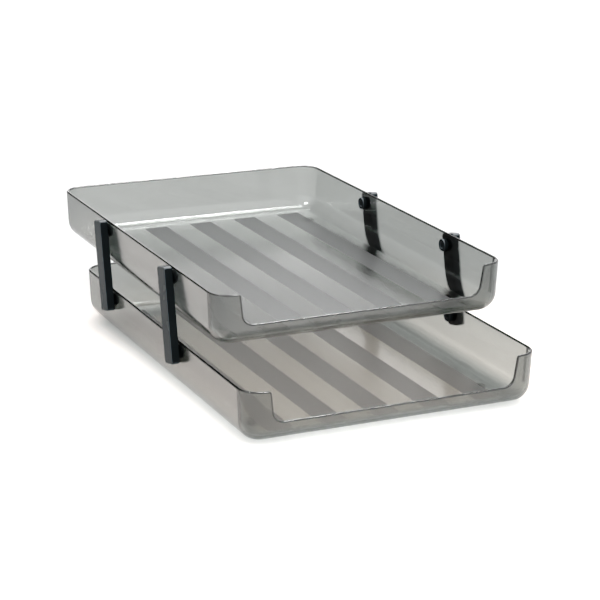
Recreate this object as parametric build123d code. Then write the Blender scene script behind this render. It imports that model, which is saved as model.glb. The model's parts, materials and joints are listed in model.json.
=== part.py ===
from build123d import *
import math
import os

# Two-tier letter tray: two clear mouldings of one shape, carried by four swing links.
# Frame: +X to the right, +Y to the back, +Z up, origin on the desk under the middle of the object.

# Tray moulding
tray_width = 255.0  # across the rim, outside
tray_length = 374.0  # front to back at the rim, outside
tray_height = 42.5  # underside to rim
wall = 2.5
draft = 2.5  # degrees that every wall leans outwards
corner_radius = 18.5  # upright corners, outside, at the rim
base_radius = 15.0  # bottom edges, outside
rim_round = 0.8  # rounding of all free edges

# Front of the tray: a low lip between two corner wings
lip_height = 16.7
wing_width = 21.0  # from the side of the tray to the wing's free edge, at the rim
wing_slope = 7.0  # degrees that the free edge leans from upright
wing_corner_radius = 3.0
lip_corner_radius = 9.0

# Moulded feet, hollow from below
foot_diameter = 11.0
foot_height = 2.5
foot_wall = 2.5
foot_from_side = 26.5
foot_from_end = 51.0

# Pivot holes in the side walls
pivot_drop = 10.0  # rim down to the pivots
pivot_spacing = 155.0  # front pivot to rear pivot
lower_rear_pivot = 76.0  # from the lower tray's back to its rear pivot
pivot_shift = 46.0  # how much further forward the upper tray's pivots lie

# Swing links
link_pitch = 60.5  # lower pivot to upper pivot
link_lean = 12.0  # degrees that the links lean back at rest
link_width = 16.7
link_thickness = 7.0
link_end = 9.3  # pivot to the end of the link
link_corner_radius = 2.5
link_edge_round = 0.8  # around the outer face
link_gap = 0.3  # between the rim and the link

# Pivot pins
pin_diameter = 6.0
pin_depth = 4.5  # how far the shank goes into the link
pin_tip = 0.6  # chamfer at the shank's end
head_diameter = 11.0
head_thickness = 3.7
head_bevel = 1.0
head_gap = 0.4  # between the head and the wall
dish_diameter = 7.0
dish_depth = 0.7

# Fits
running_clearance = 0.08  # radial, pin in the tray's wall
seat_clearance = 0.02  # radial, pin in the link

# Where the pieces stand
pivot_height = tray_height - pivot_drop
rise = link_pitch * math.cos(math.radians(link_lean))
step = pivot_shift + link_pitch * math.sin(math.radians(link_lean))
lower_place = Pos(0, -step / 2, foot_height)
upper_place = Pos(0, step / 2, foot_height + rise)
lower_rear_y = tray_length / 2 - lower_rear_pivot
upper_rear_y = lower_rear_y - pivot_shift
slope = math.tan(math.radians(draft))
slant_wall = wall / math.cos(math.radians(draft))
link_face = tray_width / 2 + link_gap
wall_at_pivot = tray_width / 2 - pivot_drop * slope
head_back = wall_at_pivot - slant_wall - head_gap


def tray_block(inset, floor_z, top_z, edge_radius):
    # Tapered block with rounded corners and a rounded bottom, inset from the tray's outside
    drop = (tray_height - floor_z) * slope
    inward = inset + drop
    base_corner = corner_radius - inward
    outline = RectangleRounded(tray_width - 2 * inward, tray_length - 2 * inward, base_corner)
    block = extrude(Pos(0, 0, floor_z) * outline, amount=top_z - floor_z, taper=-draft)
    bottom_edges = block.faces().sort_by(Axis.Z)[0].edges()
    return fillet(bottom_edges, min(edge_radius, 0.95 * base_corner))


def front_mouth():
    # What is cut from the front wall: open at the top, round at the two lower corners
    above = wall
    wing_lean = math.tan(math.radians(wing_slope))
    half_rim = tray_width / 2 - wing_width
    half_lip = half_rim - (tray_height - lip_height) * wing_lean
    half_top = half_rim + above * wing_lean
    corners = [
        (-half_lip, lip_height),
        (half_lip, lip_height),
        (half_top, tray_height + above),
        (-half_top, tray_height + above),
    ]
    outline = make_face(Polyline(corners, close=True))
    outline = fillet(outline.vertices().group_by(Axis.Y)[0], lip_corner_radius)
    depth = base_radius + 2 * wall
    return extrude(Plane.XZ.offset(tray_length / 2 + wall) * outline, amount=-depth)


def free_edges(tray):
    # The long edges of the rim, the wings and the lip: each borders only one of the wall's end faces
    front = -tray_length / 2 + wall + base_radius
    ends = []
    for face in tray.faces():
        middle = face.center()
        normal = face.normal_at(middle)
        on_rim = normal.Z > 0.999 and middle.Z > tray_height - 0.01
        at_front = middle.Y < front and middle.Z > lip_height - 0.01
        on_mouth = at_front and abs(normal.Y) < 0.001 and normal.Z > -0.01
        if on_rim or on_mouth:
            ends.append(face)
    edges = [edge for face in ends for edge in face.edges()]
    return [edge for edge in edges if sum(edge.is_same(other) for other in edges) == 1]


def tray(rear_pivot_y):
    shell = tray_block(0, 0, tray_height, base_radius)
    shell -= tray_block(slant_wall, wall, tray_height + wall, base_radius - wall)
    shell -= front_mouth()
    wing_tips = shell.edges().filter_by(Axis.Y).filter_by(lambda edge: edge.center().Z > tray_height - 0.01)
    wing_tips = [edge for edge in wing_tips if edge.length < 2 * wall]
    shell = fillet(wing_tips, wing_corner_radius)
    shell = fillet(free_edges(shell), rim_round)
    hole = Rot(0, 90, 0) * Cylinder(pin_diameter / 2 + running_clearance, tray_width + 2 * wall)
    for pivot_y in (rear_pivot_y, rear_pivot_y - pivot_spacing):
        shell -= Pos(0, pivot_y, pivot_height) * hole
    foot = Pos(0, 0, wall / 2) * Cylinder(
        foot_diameter / 2, foot_height + wall / 2, align=(Align.CENTER, Align.CENTER, Align.MAX)
    )
    hollow = Pos(0, 0, -foot_height) * Cylinder(
        foot_diameter / 2 - foot_wall, foot_height, align=(Align.CENTER, Align.CENTER, Align.MIN)
    )
    foot_x = tray_width / 2 - foot_from_side
    foot_y = tray_length / 2 - foot_from_end
    for place in GridLocations(2 * foot_x, 2 * foot_y, 2, 2):
        shell += place * foot
        shell -= place * hollow
    return shell


def link():
    # A bar along Z with its lower pivot at the origin and its inner face at x = 0
    outline = RectangleRounded(link_width, link_pitch + 2 * link_end, link_corner_radius)
    bar = extrude(Plane.YZ * Pos(0, link_pitch / 2) * outline, amount=link_thickness)
    bar = fillet(bar.faces().sort_by(Axis.X)[-1].edges(), link_edge_round)
    bore = Rot(0, 90, 0) * Cylinder(pin_diameter / 2 + seat_clearance, 2 * pin_depth)
    for height in (0, link_pitch):
        bar -= Pos(0, 0, height) * bore
    return bar


def pin():
    # Button head at x = 0 with its face inwards, shank out through the wall into the link
    reach = link_face + pin_depth - head_back + head_thickness
    profile = Polyline(
        (dish_depth, 0),
        (reach, 0),
        (reach, pin_diameter / 2 - pin_tip),
        (reach - pin_tip, pin_diameter / 2),
        (head_thickness, pin_diameter / 2),
        (head_thickness, head_diameter / 2),
        (head_bevel, head_diameter / 2),
        (0, head_diameter / 2 - head_bevel),
        (0, dish_diameter / 2),
        close=True,
    )
    return revolve(make_face(profile), Axis.X)


def write(node, solid):
    export_step(solid, os.path.join("parts", node + ".step"))


os.makedirs("parts", exist_ok=True)
write("lower_tray", lower_place * tray(lower_rear_y))
write("upper_tray", upper_place * tray(upper_rear_y))

one_link = link()
one_pin = pin()
sides = {"right": False, "left": True}
rows = {"rear": 0.0, "front": -pivot_spacing}
for row, row_y in rows.items():
    foot_pivot = lower_place * Pos(0, lower_rear_y + row_y, pivot_height)
    head_pivot = upper_place * Pos(0, upper_rear_y + row_y, pivot_height)
    lean = Rot(-link_lean, 0, 0)
    placed = {
        "link_" + row: foot_pivot * lean * Pos(link_face, 0, 0) * one_link,
        "pin_lower_" + row: foot_pivot * lean * Pos(head_back - head_thickness, 0, 0) * one_pin,
        "pin_upper_" + row: head_pivot * lean * Pos(head_back - head_thickness, 0, 0) * one_pin,
    }
    for side, flipped in sides.items():
        for name, solid in placed.items():
            write(name + "_" + side, mirror(solid, Plane.YZ) if flipped else solid)
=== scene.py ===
import json
import math
import bmesh
import bpy
from mathutils import Matrix, Vector


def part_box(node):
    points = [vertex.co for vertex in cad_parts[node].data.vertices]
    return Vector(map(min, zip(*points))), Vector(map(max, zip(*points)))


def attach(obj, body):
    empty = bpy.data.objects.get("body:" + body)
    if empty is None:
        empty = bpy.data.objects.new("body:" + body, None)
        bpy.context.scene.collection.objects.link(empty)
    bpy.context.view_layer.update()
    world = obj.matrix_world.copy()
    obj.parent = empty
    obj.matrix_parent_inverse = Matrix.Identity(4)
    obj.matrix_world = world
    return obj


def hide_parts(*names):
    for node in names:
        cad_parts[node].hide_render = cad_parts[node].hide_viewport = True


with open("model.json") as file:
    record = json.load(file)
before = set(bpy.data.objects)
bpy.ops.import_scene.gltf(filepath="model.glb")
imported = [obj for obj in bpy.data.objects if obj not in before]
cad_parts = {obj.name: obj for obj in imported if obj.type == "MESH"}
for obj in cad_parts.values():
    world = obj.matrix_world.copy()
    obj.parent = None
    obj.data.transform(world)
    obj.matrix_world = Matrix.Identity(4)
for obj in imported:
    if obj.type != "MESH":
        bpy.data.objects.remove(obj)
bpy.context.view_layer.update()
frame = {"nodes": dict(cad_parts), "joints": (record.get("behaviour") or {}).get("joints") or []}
mm = 0.001
tiny = 0.01 * mm  # points closer than this count as one
roundFrom = math.radians(50)  # edges that turn more than this get rounded
smoothBelow = math.radians(35)  # edges that turn less than this are shaded smooth
levelFace = 0.99  # faces whose direction is this much up or down count as level
flatFace = 0.999  # the same, more strictly, for a pin's flat ends
print("frame loaded:", len(frame["nodes"]), "nodes")


# Small tools for modelling by hand

def deselectAll():
    bpy.ops.object.select_all(action="DESELECT")


def selectOnly(piece):
    deselectAll()
    piece.select_set(True)
    bpy.context.view_layer.objects.active = piece


def editPiece(piece):
    selectOnly(piece)
    bpy.ops.object.mode_set(mode="EDIT")


def leaveEdit():
    bpy.ops.object.mode_set(mode="OBJECT")


def pick(piece, kind, test):  # selects the vertices, edges or faces that pass a test
    bpy.ops.mesh.select_mode(type=kind)
    bpy.ops.mesh.select_all(action="DESELECT")
    mesh = bmesh.from_edit_mesh(piece.data)
    parts = {"VERT": mesh.verts, "EDGE": mesh.edges, "FACE": mesh.faces}[kind]
    found = [part for part in parts if test(part)]
    for part in found:
        part.select_set(True)
    mesh.select_flush_mode()
    bmesh.update_edit_mesh(piece.data)
    return len(found)


def middle(edge):
    return (edge.verts[0].co + edge.verts[1].co) / 2


def useModifier(piece, kind, **settings):  # adds a modifier and applies it
    selectOnly(piece)
    modifier = piece.modifiers.new(kind.lower(), kind)
    for name, value in settings.items():
        setattr(modifier, name, value)
    bpy.ops.object.modifier_apply(modifier=modifier.name)


def roundEdges(piece, width, steps, slot=-1):  # the rounded faces take the material slot that is given
    useModifier(
        piece, "BEVEL", width=width, segments=steps, limit_method="ANGLE", angle_limit=roundFrom,
        material=slot
    )


def cutWith(piece, tool, operation="DIFFERENCE"):
    useModifier(piece, "BOOLEAN", object=tool, operation=operation, solver="EXACT")
    bpy.data.objects.remove(tool)


def applyPlace(piece):  # moves the place from the object into its mesh
    selectOnly(piece)
    bpy.ops.object.transform_apply(location=True, rotation=True, scale=True)


def drillAcross(piece, radius, depth, place, sides):  # a hole along x
    deselectAll()
    bpy.ops.mesh.primitive_cylinder_add(
        vertices=sides, radius=radius, depth=depth, location=place, rotation=(0, math.pi / 2, 0)
    )
    tool = bpy.context.object
    applyPlace(tool)
    cutWith(piece, tool)


def smoothFaces(piece):
    largeFaces = 80  # above 50, large faces bend the shading more than small ones
    selectOnly(piece)
    bpy.ops.object.shade_smooth_by_angle(angle=smoothBelow)
    useModifier(piece, "WEIGHTED_NORMAL", keep_sharp=True, weight=largeFaces)


def markFaces(piece, name, values):  # one number for each face, which a material reads
    piece.data.attributes.new(name, "FLOAT", "FACE").data.foreach_set("value", values)


# Finishes

noiseLow, noiseHigh = 0.3, 0.7  # a noise texture seldom leaves this range


def linear(code):  # sRGB hex to linear colour
    shares = [int(code[place:place + 2], 16) / 255 for place in (1, 3, 5)]
    colour = [share / 12.92 if share <= 0.04045 else ((share + 0.055) / 1.055) ** 2.4 for share in shares]
    return (*colour, 1.0)


def addNode(tree, kind, inputs=None, links=None, **settings):
    made = tree.nodes.new(kind)
    for name, value in settings.items():
        setattr(made, name, value)
    for name, value in (inputs or {}).items():
        made.inputs[name].default_value = value
    for name, socket in (links or {}).items():
        tree.links.new(socket, made.inputs[name])
    return made


def newMaterial(name):
    material = bpy.data.materials.new(name)
    material.use_nodes = True
    material.node_tree.nodes.clear()
    return material, material.node_tree


smoke = {
    "tint": "#f4f3f1",
    "frostTint": "#d0ced1",
    # painted shade for the rounded rims and mouth edges, the feet and the front-corner lines
    "paintedEdgeShade": "#5c5d5d",
    "stain": "#9ca4a2",
    "density": 415.0,
    "ior": 1.59,
    "flowSize": 60 * mm,
    "flowHeight": 0.05 * mm,
    "flowStrength": 0.1,
    "gritSize": 0.9 * mm,  # drawn coarser than the real 0.1 mm so that it shows
    "gritSpread": 0.15,  # how far the grit varies the roughness of the bands
}


def smokePolystyrene():
    # Polystyrene, smoke grey, moulded in a polished tool: clear and hard, dark where the eye looks along
    # the wall; painted shade on its rounded edges, feet and front-corner lines; matt on the floor's bands,
    # where the tool was blasted
    material, tree = newMaterial("smoke polystyrene")
    place = addNode(tree, "ShaderNodeTexCoord")
    frost = addNode(tree, "ShaderNodeAttribute", attribute_name="frost")
    matt = addNode(tree, "ShaderNodeAttribute", attribute_name="matt")
    edge = addNode(tree, "ShaderNodeAttribute", attribute_name="edge")
    flow = addNode(
        tree, "ShaderNodeTexNoise", {"Scale": 1 / smoke["flowSize"], "Detail": 1.0},
        {"Vector": place.outputs["Object"]}
    )
    grit = addNode(
        tree, "ShaderNodeTexNoise", {"Scale": 1 / smoke["gritSize"], "Detail": 2.0},
        {"Vector": place.outputs["Object"]}
    )
    speckle = addNode(
        tree, "ShaderNodeMapRange",
        {"From Min": noiseLow, "From Max": noiseHigh, "To Min": 1 - smoke["gritSpread"],
         "To Max": 1 + smoke["gritSpread"]},
        {"Value": grit.outputs["Fac"]}
    )
    frosted = addNode(
        tree, "ShaderNodeMix", {"A": 1.0}, {"Factor": frost.outputs["Fac"], "B": speckle.outputs["Result"]}
    )
    rough = addNode(
        tree, "ShaderNodeMath", None, {0: matt.outputs["Fac"], 1: frosted.outputs["Result"]},
        operation="MULTIPLY"
    )
    clear = addNode(
        tree, "ShaderNodeMix", {"A": linear(smoke["tint"]), "B": linear(smoke["frostTint"])},
        {"Factor": frost.outputs["Fac"]}, data_type="RGBA"
    )
    # painted shade: faces marked edge are darkened towards this grey
    tint = addNode(
        tree, "ShaderNodeMix", {"B": linear(smoke["paintedEdgeShade"])},
        {"Factor": edge.outputs["Fac"], "A": clear.outputs["Result"]}, data_type="RGBA"
    )
    wave = addNode(
        tree, "ShaderNodeBump", {"Strength": smoke["flowStrength"], "Distance": smoke["flowHeight"]},
        {"Height": flow.outputs["Fac"]}
    )
    shine = addNode(
        tree, "ShaderNodeBsdfPrincipled", {"Transmission Weight": 1.0, "IOR": smoke["ior"]},
        {"Base Color": tint.outputs["Result"], "Roughness": rough.outputs["Value"],
         "Normal": wave.outputs["Normal"]}
    )
    inside = addNode(
        tree, "ShaderNodeVolumeAbsorption", {"Color": linear(smoke["stain"]), "Density": smoke["density"]}
    )
    addNode(
        tree, "ShaderNodeOutputMaterial", None,
        {"Surface": shine.outputs["BSDF"], "Volume": inside.outputs["Volume"]}
    )
    return material


acetal = {
    "dark": "#20272a",
    "light": "#293134",
    # grey of the rubbed edges, which also carries a painted highlight
    "wornAndGlinting": "#a9adb0",
    "roughLow": 0.2,
    "roughHigh": 0.3,
    "ior": 1.48,
    "specular": 0.035,  # far less shine than acetal has, so that the links stay dark
    "patchSize": 14 * mm,
    "grainSize": 0.7 * mm,  # about five times too coarse, so that it shows
    "grainHeight": 0.03 * mm,
    "grainStrength": 0.3,
}


def blackAcetal():
    # Acetal, black, moulded in a fine-sparked tool: near black with a soft grey sheen and faint grain,
    # greyer on the rounded edges, which are rubbed and carry a painted highlight, most where they look up
    material, tree = newMaterial("black acetal")
    place = addNode(tree, "ShaderNodeTexCoord")
    wornAndGlinting = addNode(tree, "ShaderNodeAttribute", attribute_name="wearAndGlint")
    grain = addNode(
        tree, "ShaderNodeTexNoise", {"Scale": 1 / acetal["grainSize"], "Detail": 2.0},
        {"Vector": place.outputs["Object"]}
    )
    patch = addNode(
        tree, "ShaderNodeTexNoise", {"Scale": 1 / acetal["patchSize"], "Detail": 2.0},
        {"Vector": place.outputs["Object"]}
    )
    rough = addNode(
        tree, "ShaderNodeMapRange",
        {"From Min": noiseLow, "From Max": noiseHigh, "To Min": acetal["roughLow"],
         "To Max": acetal["roughHigh"]},
        {"Value": patch.outputs["Fac"]}
    )
    shade = addNode(
        tree, "ShaderNodeMix", {"A": linear(acetal["dark"]), "B": linear(acetal["light"])},
        {"Factor": patch.outputs["Fac"]}, data_type="RGBA"
    )
    # rubbed grey and painted highlight on the marked edges
    tone = addNode(
        tree, "ShaderNodeMix", {"B": linear(acetal["wornAndGlinting"])},
        {"Factor": wornAndGlinting.outputs["Fac"], "A": shade.outputs["Result"]}, data_type="RGBA"
    )
    bump = addNode(
        tree, "ShaderNodeBump", {"Strength": acetal["grainStrength"], "Distance": acetal["grainHeight"]},
        {"Height": grain.outputs["Fac"]}
    )
    shine = addNode(
        tree, "ShaderNodeBsdfPrincipled", {"IOR": acetal["ior"], "Specular IOR Level": acetal["specular"]},
        {"Base Color": tone.outputs["Result"], "Roughness": rough.outputs["Result"],
         "Normal": bump.outputs["Normal"]}
    )
    addNode(tree, "ShaderNodeOutputMaterial", None, {"Surface": shine.outputs["BSDF"]})
    return material


clearPlastic = smokePolystyrene()
blackPlastic = blackAcetal()
print("finishes made")


# Trays: one shape, moulded twice

tray = {
    "wall": 2.5 * mm,
    "draft": math.radians(2.5),
    "cornerRadius": 18.5 * mm,
    "cornerSteps": 18,
    "paintedLineArc": math.radians(11),  # of each front corner, beside the side wall: an upright line of painted shade
    "baseRadius": 15.0 * mm,
    "baseSteps": 14,
    "footHeight": 2.5 * mm,
    "edgeRound": 1.1 * mm,
    "edgeSteps": 4,
    "insideRough": 0.05,
    "outsideRough": 0.15,
    "floorRough": 0.16,
}

mouth = {
    "lipHeight": 16.7 * mm,
    "wingWidth": 21.0 * mm,
    "wingSlope": math.radians(7.0),
    "cornerLength": 8.0 * mm,  # along each side of the round corner
    "cornerSteps": 10,
    "tipLength": 2.3 * mm,
    "tipSteps": 5,
}

foot = {
    "diameter": 11.0 * mm,
    "wall": 2.5 * mm,
    "fromSide": 26.5 * mm,
    "fromEnd": 51.0 * mm,
    "sides": 48,
}

hole = {"clearance": 0.08 * mm, "sides": 40, "edgeRound": 0.2 * mm, "edgeSteps": 3}

band = {
    "count": 5,
    "pitch": 45.0 * mm,
    "width": 22.5 * mm,
    "fromBack": 26.0 * mm,
    "fromFront": 17.5 * mm,
    "slopeWidth": 0.25 * mm,
    "relief": 0.12 * mm,
    "rough": 0.4,
}


def traySkin(name, centre, width, length, rim, underside):
    deselectAll()
    bpy.ops.mesh.primitive_plane_add(size=1, location=(centre.x, centre.y, rim))
    piece = bpy.context.object
    piece.name = piece.data.name = name
    applyPlace(piece)
    editPiece(piece)
    bpy.ops.mesh.select_all(action="SELECT")
    bpy.ops.transform.resize(value=(width, length, 1))
    bpy.ops.mesh.flip_normals()  # the face looks down, so each inset walks down the wall
    bpy.ops.mesh.bevel(
        offset=tray["cornerRadius"], segments=tray["cornerSteps"], affect="VERTICES", clamp_overlap=False
    )
    pick(piece, "FACE", lambda face: True)
    lean = tray["draft"]
    tilt = tray["wall"] * math.sin(lean)  # the wall's inner edge comes out this much higher
    bpy.ops.transform.translate(value=(0, 0, -tilt / 2))
    wallDrop = rim - tilt / 2 - underside - tray["baseRadius"] * (1 - math.sin(lean))
    bpy.ops.mesh.inset(thickness=wallDrop * math.tan(lean), depth=wallDrop)
    turn = (math.pi / 2 - lean) / tray["baseSteps"]
    for stage in range(tray["baseSteps"]):  # the round bottom edge, from the wall to the floor
        start = lean + turn * stage
        inward = tray["baseRadius"] * (math.cos(start) - math.cos(start + turn))
        down = tray["baseRadius"] * (math.sin(start + turn) - math.sin(start))
        bpy.ops.mesh.inset(thickness=inward, depth=down)
    leaveEdit()
    useModifier(
        piece, "SOLIDIFY", thickness=tray["wall"], offset=-1, use_even_offset=True, use_quality_normals=True
    )
    editPiece(piece)
    pick(piece, "VERT", lambda vert: vert.co.z > rim - 2 * tilt)
    bpy.ops.transform.resize(value=(1, 1, 0))  # levels the rim
    leaveEdit()
    return piece


def mouthTool(centre, width, front, rim, underside):
    above = 2 * tray["wall"]
    lean = math.tan(mouth["wingSlope"])
    lip = underside + mouth["lipHeight"]
    halfTop = width / 2 - mouth["wingWidth"] + above * lean
    halfLip = width / 2 - mouth["wingWidth"] - (rim - lip) * lean
    tall = rim + above - lip
    deselectAll()
    bpy.ops.mesh.primitive_plane_add(size=1, rotation=(math.pi / 2, 0, 0))
    tool = bpy.context.object
    applyPlace(tool)
    editPiece(tool)
    bpy.ops.mesh.select_all(action="SELECT")
    bpy.ops.transform.resize(value=(2 * halfTop, 1, tall))
    pick(tool, "VERT", lambda vert: vert.co.z < 0)
    bpy.ops.transform.resize(value=(halfLip / halfTop, 1, 1))
    bpy.ops.mesh.bevel(offset=mouth["cornerLength"], segments=mouth["cornerSteps"], affect="VERTICES")
    bpy.ops.mesh.select_all(action="SELECT")
    bpy.ops.transform.translate(value=(centre.x, front - tray["wall"], lip + tall / 2))
    depth = tray["baseRadius"] + tray["wall"]
    bpy.ops.mesh.extrude_region_move(TRANSFORM_OT_translate={"value": (0, depth, 0)})
    bpy.ops.mesh.select_all(action="SELECT")
    bpy.ops.mesh.normals_make_consistent(inside=False)
    leaveEdit()
    return tool


def roundWingTips(piece, width, front, rim):
    near = 0.5 * mm
    wingEdge = width / 2 - mouth["wingWidth"]

    def onTip(edge):  # runs through the wall, at the top of a wing's free edge
        spot = middle(edge)
        through = abs(edge.verts[0].co.x - edge.verts[1].co.x) < tiny and spot.y < front + 2 * tray["wall"]
        return through and abs(abs(spot.x) - wingEdge) < near and spot.z > rim - near

    editPiece(piece)
    pick(piece, "EDGE", onTip)
    bpy.ops.mesh.bevel(offset=mouth["tipLength"], segments=mouth["tipSteps"], affect="EDGES")
    leaveEdit()


def feetTool(centre, width, length, underside):
    tall = tray["footHeight"] + tray["wall"] / 2
    z = underside - tray["footHeight"] + tall / 2
    tools = []
    for side in (-1, 1):
        for end in (-1, 1):
            x = centre.x + side * (width / 2 - foot["fromSide"])
            y = centre.y + end * (length / 2 - foot["fromEnd"])
            deselectAll()
            bpy.ops.mesh.primitive_cylinder_add(
                vertices=foot["sides"], radius=foot["diameter"] / 2, depth=tall, location=(x, y, z)
            )
            tool = bpy.context.object
            applyPlace(tool)
            editPiece(tool)
            pick(tool, "FACE", lambda face: face.normal.z < -levelFace)
            bpy.ops.mesh.inset(thickness=foot["wall"])
            bpy.ops.mesh.extrude_region_move(TRANSFORM_OT_translate={"value": (0, 0, tray["footHeight"])})
            leaveEdit()
            tools.append(tool)
    selectOnly(tools[0])
    for tool in tools:
        tool.select_set(True)
    bpy.ops.object.join()
    return tools[0]


def cutPinHoles(piece, pins, across):
    for pin in pins:
        low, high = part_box(pin)
        radius = pivotPin["shankDiameter"] / 2 + hole["clearance"]
        place = (0, (low.y + high.y) / 2, (low.z + high.z) / 2)
        drillAcross(piece, radius, across, place, hole["sides"])


def bandEnds(centre, length):  # where the bands begin and end, front to back
    front = centre.y - length / 2 + band["fromFront"]
    back = centre.y + length / 2 - band["fromBack"]
    return front, back


def frostBands(piece, centre, length, floorTop):
    floorSlack = 0.05 * mm

    def onFloor(face):
        return face.normal.z > levelFace and abs(face.calc_center_median().z - floorTop) < floorSlack

    middles = [(number - (band["count"] - 1) / 2) * band["pitch"] for number in range(band["count"])]
    editPiece(piece)
    for x in middles:
        for side in (-1, 1):
            pick(piece, "FACE", onFloor)
            place = (centre.x + x + side * band["width"] / 2, 0, 0)
            bpy.ops.mesh.bisect(plane_co=place, plane_no=(1, 0, 0))
    front, back = bandEnds(centre, length)
    for y in (front, back):
        pick(piece, "FACE", onFloor)
        bpy.ops.mesh.bisect(plane_co=(0, y, 0), plane_no=(0, 1, 0))

    def onBand(face):
        spot = face.calc_center_median()
        across = any(abs(spot.x - centre.x - x) < band["width"] / 2 for x in middles)
        return onFloor(face) and across and front < spot.y < back

    print(piece.name, "bands", pick(piece, "FACE", onBand))
    bpy.ops.mesh.inset(thickness=band["slopeWidth"], depth=-band["relief"], use_individual=True)
    leaveEdit()
    markFaces(piece, "frost", [1.0 if face.select else 0.0 for face in piece.data.polygons])


def markFinishAndShade(piece, centre, length, floorTop):  # how matt the mould left each face, and where shade is painted darker
    farOut = 20 * mm  # an outer face looks away from the tray's middle by more than this
    floorDepth = 0.2 * mm  # deeper than the bands' relief
    footSlack = 0.1 * mm
    lookDown = 0.2  # an outer face may also look down by more than this
    upright = 0.1  # an upright face looks up or down by less than this
    onArc = 0.01  # the corner's round faces look to the front or back by more than this
    front, back = bandEnds(centre, length)
    rough = []
    edges = []
    for face, frosted in zip(piece.data.polygons, piece.data.attributes["frost"].data):
        spot, facing = face.center - centre, face.normal
        outside = facing.z < -lookDown or spot.x * facing.x + spot.y * facing.y > farOut
        onFloor = facing.z > levelFace and abs(face.center.z - floorTop) < floorDepth
        onEdge = face.material_index == 1
        onFoot = face.center.z < floorTop - tray["wall"] - footSlack
        atFront = spot.y < tray["cornerRadius"] - length / 2
        besideWall = onArc < abs(facing.y) < math.sin(tray["paintedLineArc"])
        onShadeLine = atFront and besideWall and abs(facing.z) < upright
        # painted shade: rounded rims and mouth edges, feet and the front-corner lines are marked darker
        edges.append(1.0 if onEdge or onFoot or onShadeLine else 0.0)
        if frosted.value:
            rough.append(band["rough"])
        elif onFloor and front < face.center.y < back:
            rough.append(tray["floorRough"])
        elif outside and not onEdge:
            rough.append(tray["outsideRough"])
        else:
            rough.append(tray["insideRough"])
    markFaces(piece, "matt", rough)
    markFaces(piece, "edge", edges)
    print(piece.name, "edge faces", int(sum(edges)))


def clearTray(name, node, pins):
    low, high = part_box(node)
    centre = (low + high) / 2
    width, length = high.x - low.x, high.y - low.y
    rim, underside = high.z, low.z + tray["footHeight"]
    floorTop = underside + tray["wall"]
    piece = traySkin(name, centre, width, length, rim, underside)
    cutWith(piece, mouthTool(centre, width, low.y, rim, underside))
    roundWingTips(piece, width, low.y, rim)
    piece.data.materials.append(clearPlastic)
    piece.data.materials.append(clearPlastic)  # a second slot, only to tell the rounded edges from the rest
    roundEdges(piece, tray["edgeRound"], tray["edgeSteps"], slot=1)
    cutPinHoles(piece, pins, 2 * width)
    cutWith(piece, feetTool(centre, width, length, underside), "UNION")
    roundEdges(piece, hole["edgeRound"], hole["edgeSteps"])
    frostBands(piece, centre, length, floorTop)
    markFinishAndShade(piece, centre, length, floorTop)
    smoothFaces(piece)
    return piece


# Pivot pins and swing links

pivotPin = {
    "shankDiameter": 6.0 * mm,
    "headDiameter": 11.0 * mm,
    "headThickness": 3.7 * mm,
    "headRound": 1.0 * mm,
    "headSteps": 5,
    "dishRim": 1.0 * mm,
    "dishSteps": [(0.35 * mm, -0.2 * mm), (1.0 * mm, -0.35 * mm), (1.2 * mm, -0.13 * mm)],  # inset, rise
    "tip": 0.6 * mm,
    "tipSteps": 2,
    "sides": 56,
}

swingLink = {
    "width": 16.7 * mm,
    "end": 9.29 * mm,
    "cornerRadius": 2.5 * mm,
    "cornerSteps": 6,
    "edgeRound": 0.8 * mm,
    "edgeSteps": 4,
    "boreClearance": 0.02 * mm,
    "boreDepth": 4.5 * mm,
}

wearAndGlint = {
    "all": 0.12,  # how far all rounded edges go towards grey: rubbed, and a painted highlight
    "glintUp": 0.8,  # painted highlight: how much further where they look up
    "headFace": 0.95,  # the round edge of a pin's head lies between its face
    "headSide": 0.15,  # and its side: how much each looks along the pin
    "linkBack": 0.01,  # a link's edges look back to the tray by less than this
    "linkFlat": 0.98,  # a link's flat faces look this much one way
}


def markWearAndGlint(piece, rounded):  # marks the rounded edges, which are rubbed and carry a painted highlight
    markFaces(piece, "wearAndGlint", [1.0 if rounded(face.normal) else 0.0 for face in piece.data.polygons])


def turnedPin(reach):
    # head face at x = 0, shank towards +x
    thick = pivotPin["headThickness"]
    deselectAll()
    bpy.ops.mesh.primitive_cylinder_add(
        vertices=pivotPin["sides"], radius=pivotPin["headDiameter"] / 2, depth=thick,
        location=(thick / 2, 0, 0), rotation=(0, math.pi / 2, 0)
    )
    piece = bpy.context.object
    applyPlace(piece)
    editPiece(piece)
    pick(piece, "EDGE", lambda edge: max(edge.verts[0].co.x, edge.verts[1].co.x) < tiny)
    bpy.ops.mesh.bevel(offset=pivotPin["headRound"], segments=pivotPin["headSteps"], affect="EDGES")
    pick(piece, "FACE", lambda face: face.normal.x < -flatFace)
    bpy.ops.mesh.inset(thickness=pivotPin["dishRim"])
    for thickness, depth in pivotPin["dishSteps"]:
        bpy.ops.mesh.inset(thickness=thickness, depth=depth)
    pick(piece, "FACE", lambda face: face.normal.x > flatFace)
    bpy.ops.mesh.inset(thickness=(pivotPin["headDiameter"] - pivotPin["shankDiameter"]) / 2)
    bpy.ops.mesh.extrude_region_move(TRANSFORM_OT_translate={"value": (reach - thick, 0, 0)})
    pick(piece, "EDGE", lambda edge: min(edge.verts[0].co.x, edge.verts[1].co.x) > reach - tiny)
    bpy.ops.mesh.bevel(offset=pivotPin["tip"], segments=pivotPin["tipSteps"], affect="EDGES")
    leaveEdit()
    markWearAndGlint(piece, lambda facing: -wearAndGlint["headFace"] < facing.x < -wearAndGlint["headSide"])
    smoothFaces(piece)
    return piece


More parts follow.
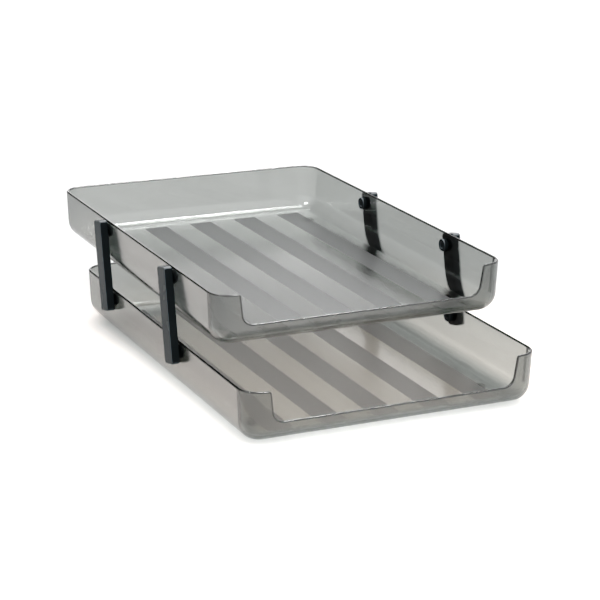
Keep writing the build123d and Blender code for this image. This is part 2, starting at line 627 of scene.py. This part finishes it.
def mouldedLink(thickness, pitch):
    # inner face at x = 0, lower pivot at the origin
    tall = pitch + 2 * swingLink["end"]
    deselectAll()
    bpy.ops.mesh.primitive_cube_add(size=1)
    piece = bpy.context.object
    editPiece(piece)
    bpy.ops.mesh.select_all(action="SELECT")
    bpy.ops.transform.resize(value=(thickness, swingLink["width"], tall))
    bpy.ops.transform.translate(value=(thickness / 2, 0, pitch / 2))
    pick(piece, "EDGE", lambda edge: abs(edge.verts[0].co.x - edge.verts[1].co.x) > thickness / 2)
    bpy.ops.mesh.bevel(offset=swingLink["cornerRadius"], segments=swingLink["cornerSteps"], affect="EDGES")
    leaveEdit()
    roundEdges(piece, swingLink["edgeRound"], swingLink["edgeSteps"])
    radius = pivotPin["shankDiameter"] / 2 + swingLink["boreClearance"]
    for height in (0, pitch):
        drillAcross(piece, radius, 2 * swingLink["boreDepth"], (0, 0, height), hole["sides"])

    def onEdge(facing):
        return facing.x > -wearAndGlint["linkBack"] and max(abs(part) for part in facing) < wearAndGlint["linkFlat"]

    markWearAndGlint(piece, onEdge)
    smoothFaces(piece)
    return piece


def placedCopy(master, name, location, rotation):
    piece = master.copy()
    piece.data = master.data.copy()
    piece.name = piece.data.name = name
    bpy.context.scene.collection.objects.link(piece)
    piece.location = location
    piece.rotation_euler = rotation
    applyPlace(piece)
    # painted highlight: edges that look up are marked much lighter
    for face, mark in zip(piece.data.polygons, piece.data.attributes["wearAndGlint"].data):
        mark.value *= wearAndGlint["all"] + wearAndGlint["glintUp"] * max(face.normal.z, 0.0) ** 2
    return piece


def finishPiece(piece, material, body, node):
    piece.data.materials.clear()
    piece.data.materials.append(material)
    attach(piece, body)
    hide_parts(node)


# Build

rows, sides = ("rear", "front"), ("left", "right")
for level in ("lower", "upper"):
    node = level + "_tray"
    pins = ["pin_%s_%s_right" % (level, row) for row in rows]
    piece = clearTray(level + "Tray", node, pins)
    finishPiece(piece, clearPlastic, node, node)
    print(piece.name, "faces", len(piece.data.polygons))

pivots = {joint["child"]: Vector(joint["pos_m"]) for joint in frame["joints"]}
swing = pivots["upper_tray"] - pivots["link_rear_left"]  # lower pivot to upper pivot
lean = math.atan2(swing.y, swing.z)
linkLow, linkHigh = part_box("link_rear_right")
pinLow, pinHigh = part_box("pin_lower_rear_right")
linkMaster = mouldedLink(linkHigh.x - linkLow.x, swing.length)
pinMaster = turnedPin(pinHigh.x - pinLow.x)
for row in rows:
    for side in sides:
        turn = math.pi if side == "left" else 0
        body = "link_%s_%s" % (row, side)
        low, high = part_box(body)
        inner = high.x if side == "left" else low.x
        tilt = Matrix.Rotation(-lean, 4, "X") @ Matrix.Rotation(turn, 4, "Z")
        place = Vector((inner, pivots[body].y, pivots[body].z))
        name = "link" + row.title() + side.title()
        piece = placedCopy(linkMaster, name, place, tilt.to_euler())
        finishPiece(piece, blackPlastic, body, body)
        for level in ("lower", "upper"):
            node = "pin_%s_%s_%s" % (level, row, side)
            low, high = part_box(node)
            inner = high.x if side == "left" else low.x
            place = Vector((inner, (low.y + high.y) / 2, (low.z + high.z) / 2))
            name = "pin" + level.title() + row.title() + side.title()
            piece = placedCopy(pinMaster, name, place, (0, 0, turn))
            finishPiece(piece, blackPlastic, body, node)
bpy.data.objects.remove(linkMaster)
bpy.data.objects.remove(pinMaster)
print("links and pins placed")


# Light table, in metres

lightTable = {
    "size": 12.0,
    "white": "#f9f9f9",
    "rough": 0.9,
    "specular": 0.2,
    "lampColour": "#fff0e6",
    "lamps": [
        {"middle": (-0.02, -0.14, 0), "reach": 0.46, "strength": 1.28},  # under the trays
        {"middle": (-0.38, 0.25, 0), "reach": 0.32, "strength": 1.2},  # behind them on the left
    ],
    "shadeColour": "#e6fbff",  # cooler than the lamp, so that the shade looks grey
    "shadeMiddle": (0, -0.037, 0),
    "shadeCore": (0.1, 0.151, 0),  # half the size of the bare middle
    "shadeEdge": 0.012,  # past the core, where the shade is deepest
    "shadeReach": 0.045,  # past the core, where it has faded out
    "shade": 0.5,
}


def opalAcrylic():
    # Acrylic sheet, opal white and matt, with lamps under it that fade out with distance,
    # and a soft contact shade around the foot of the object
    material, tree = newMaterial("opal acrylic")
    place = addNode(tree, "ShaderNodeTexCoord")
    glows = []
    for lamp in lightTable["lamps"]:
        spot = addNode(
            tree, "ShaderNodeVectorMath", {1: lamp["middle"]}, {0: place.outputs["Object"]},
            operation="DISTANCE"
        )
        fade = addNode(
            tree, "ShaderNodeMapRange",
            {"From Min": lamp["reach"], "From Max": 0.0, "To Max": lamp["strength"]},
            {"Value": spot.outputs["Value"]}, interpolation_type="SMOOTHSTEP"
        )
        glows.append(fade.outputs["Result"])
    total = glows[0]
    for more in glows[1:]:
        total = addNode(tree, "ShaderNodeMath", None, {0: total, 1: more}, operation="ADD").outputs["Value"]
    across = addNode(
        tree, "ShaderNodeVectorMath", {1: lightTable["shadeMiddle"]}, {0: place.outputs["Object"]},
        operation="SUBTRACT"
    )
    away = addNode(tree, "ShaderNodeVectorMath", None, {0: across.outputs["Vector"]}, operation="ABSOLUTE")
    beyond = addNode(
        tree, "ShaderNodeVectorMath", {1: lightTable["shadeCore"]}, {0: away.outputs["Vector"]},
        operation="SUBTRACT"
    )
    outside = addNode(
        tree, "ShaderNodeVectorMath", {1: (0, 0, 0)}, {0: beyond.outputs["Vector"]}, operation="MAXIMUM"
    )
    past = addNode(tree, "ShaderNodeVectorMath", None, {0: outside.outputs["Vector"]}, operation="LENGTH")
    rising = addNode(
        tree, "ShaderNodeMapRange", {"From Max": lightTable["shadeEdge"]}, {"Value": past.outputs["Value"]},
        interpolation_type="SMOOTHSTEP"
    )
    falling = addNode(
        tree, "ShaderNodeMapRange",
        {"From Min": lightTable["shadeEdge"], "From Max": lightTable["shadeReach"],
         "To Min": lightTable["shade"], "To Max": 0.0},
        {"Value": past.outputs["Value"]}, interpolation_type="SMOOTHSTEP"
    )
    dark = addNode(
        tree, "ShaderNodeMath", None, {0: rising.outputs["Result"], 1: falling.outputs["Result"]},
        operation="MULTIPLY"
    )
    bare = addNode(tree, "ShaderNodeMath", {0: 1.0}, {1: dark.outputs["Value"]}, operation="SUBTRACT")
    glow = addNode(
        tree, "ShaderNodeMath", None, {0: total, 1: bare.outputs["Value"]}, operation="MULTIPLY"
    )
    white = addNode(
        tree, "ShaderNodeMix", {"A": linear(lightTable["white"]), "B": linear("#000000")},
        {"Factor": dark.outputs["Value"]}, data_type="RGBA"
    )
    warmth = addNode(
        tree, "ShaderNodeMix",
        {"A": linear(lightTable["lampColour"]), "B": linear(lightTable["shadeColour"])},
        {"Factor": dark.outputs["Value"]}, data_type="RGBA"
    )
    shine = addNode(
        tree, "ShaderNodeBsdfPrincipled",
        {"Roughness": lightTable["rough"], "Specular IOR Level": lightTable["specular"]},
        {"Base Color": white.outputs["Result"], "Emission Color": warmth.outputs["Result"],
         "Emission Strength": glow.outputs["Value"]}
    )
    addNode(tree, "ShaderNodeOutputMaterial", None, {"Surface": shine.outputs["BSDF"]})
    return material


deselectAll()
bpy.ops.mesh.primitive_plane_add(size=lightTable["size"])
floor = bpy.context.object
floor.name = "floor"
floor.data.materials.append(opalAcrylic())
print("light table set")


# Sky and soft boxes, in metres and watts

skyDome = {
    "strength": 1.28,
    "flagAim": Vector((-0.2, 0.85, 0.45)).normalized(),  # towards the dim patch
    "flagInner": math.radians(14),
    "flagOuter": math.radians(38),
    "flagLevel": 0.15,  # share of the strength that is left in the middle of the patch
}

softBoxes = {
    "overhead": {"place": (0.49, 0.55, 1.3), "target": (0, 0.1, 0.05), "size": (0.55, 0.65), "power": 25},
    "side": {"place": (-0.56, 0.2, 1.37), "target": (0.1, 0.15, 0.05), "size": (0.4, 0.4), "power": 14},
    "backdrop": {"place": (1.1, 2.3, 0.4), "target": (0, 0, 0.1), "size": (2.4, 0.6), "power": 8.5},
}

world = bpy.data.worlds.new("studio")
bpy.context.scene.world = world
world.use_nodes = True
world.node_tree.nodes.clear()
gaze = addNode(world.node_tree, "ShaderNodeTexCoord")
toward = addNode(
    world.node_tree, "ShaderNodeVectorMath", {1: skyDome["flagAim"]}, {0: gaze.outputs["Generated"]},
    operation="DOT_PRODUCT"
)
brightness = addNode(
    world.node_tree, "ShaderNodeMapRange",
    {"From Min": math.cos(skyDome["flagOuter"]), "From Max": math.cos(skyDome["flagInner"]),
     "To Min": skyDome["strength"], "To Max": skyDome["strength"] * skyDome["flagLevel"]},
    {"Value": toward.outputs["Value"]}, interpolation_type="SMOOTHSTEP"
)
sky = addNode(
    world.node_tree, "ShaderNodeBackground", {"Color": linear("#ffffff")},
    {"Strength": brightness.outputs["Result"]}
)
addNode(world.node_tree, "ShaderNodeOutputWorld", None, {"Surface": sky.outputs["Background"]})

for name, box in softBoxes.items():
    lamp = bpy.data.lights.new(name, "AREA")
    lamp.shape = "RECTANGLE"
    lamp.size, lamp.size_y = box["size"]
    lamp.energy = box["power"]
    holder = bpy.data.objects.new(name, lamp)
    bpy.context.scene.collection.objects.link(holder)
    holder.location = box["place"]
    aim = Vector(box["target"]) - Vector(box["place"])
    holder.rotation_euler = aim.to_track_quat("-Z", "Y").to_euler()
    holder.visible_diffuse = False  # shines in the plastic alone and leaves the table's light even
print("sky and soft boxes set")


# Camera and picture

shot = {
    "lens": 118.433,
    "target": Vector((-14.05, -65.138, 62.5)) * mm,
    "distance": 1635.94 * mm,
    "azimuth": math.radians(24.945),
    "elevation": math.radians(17.18),
    "roll": math.radians(0.633),
    "farthest": 50,  # metres
    "toe": ((0.045, 0.018), (0.12, 0.115)),  # light and how it is shown: deeper blacks, as in print
    "bounces": 24,
    "glossyBounces": 8,
}

azimuth, elevation, roll = shot["azimuth"], shot["elevation"], shot["roll"]
ahead = Vector((math.sin(azimuth), math.cos(azimuth), 0))
forward = ahead * math.cos(elevation) - Vector((0, 0, math.sin(elevation)))
levelRight = Vector((math.cos(azimuth), -math.sin(azimuth), 0))
levelUp = levelRight.cross(forward)
right = levelRight * math.cos(roll) + levelUp * math.sin(roll)
up = levelUp * math.cos(roll) - levelRight * math.sin(roll)
camera = bpy.data.objects.new("camera", bpy.data.cameras.new("camera"))
bpy.context.scene.collection.objects.link(camera)
camera.data.lens = shot["lens"]
camera.data.clip_end = shot["farthest"]
pose = Matrix((right, up, -forward)).transposed().to_4x4()
pose.translation = shot["target"] - forward * shot["distance"]
camera.matrix_world = pose
bpy.context.scene.camera = camera

view = bpy.context.scene.view_settings
view.view_transform = "Standard"
view.use_curve_mapping = True
curve = view.curve_mapping.curves[3].points  # the curve for all three colours
for light, shown in shot["toe"]:
    curve.new(light, shown)
for point in curve:
    point.handle_type = "VECTOR"
view.curve_mapping.update()
bpy.context.scene.cycles.max_bounces = shot["bounces"]
bpy.context.scene.cycles.transmission_bounces = shot["bounces"]
bpy.context.scene.cycles.glossy_bounces = shot["glossyBounces"]
bpy.context.scene.cycles.use_denoising = True
print("camera and picture set")
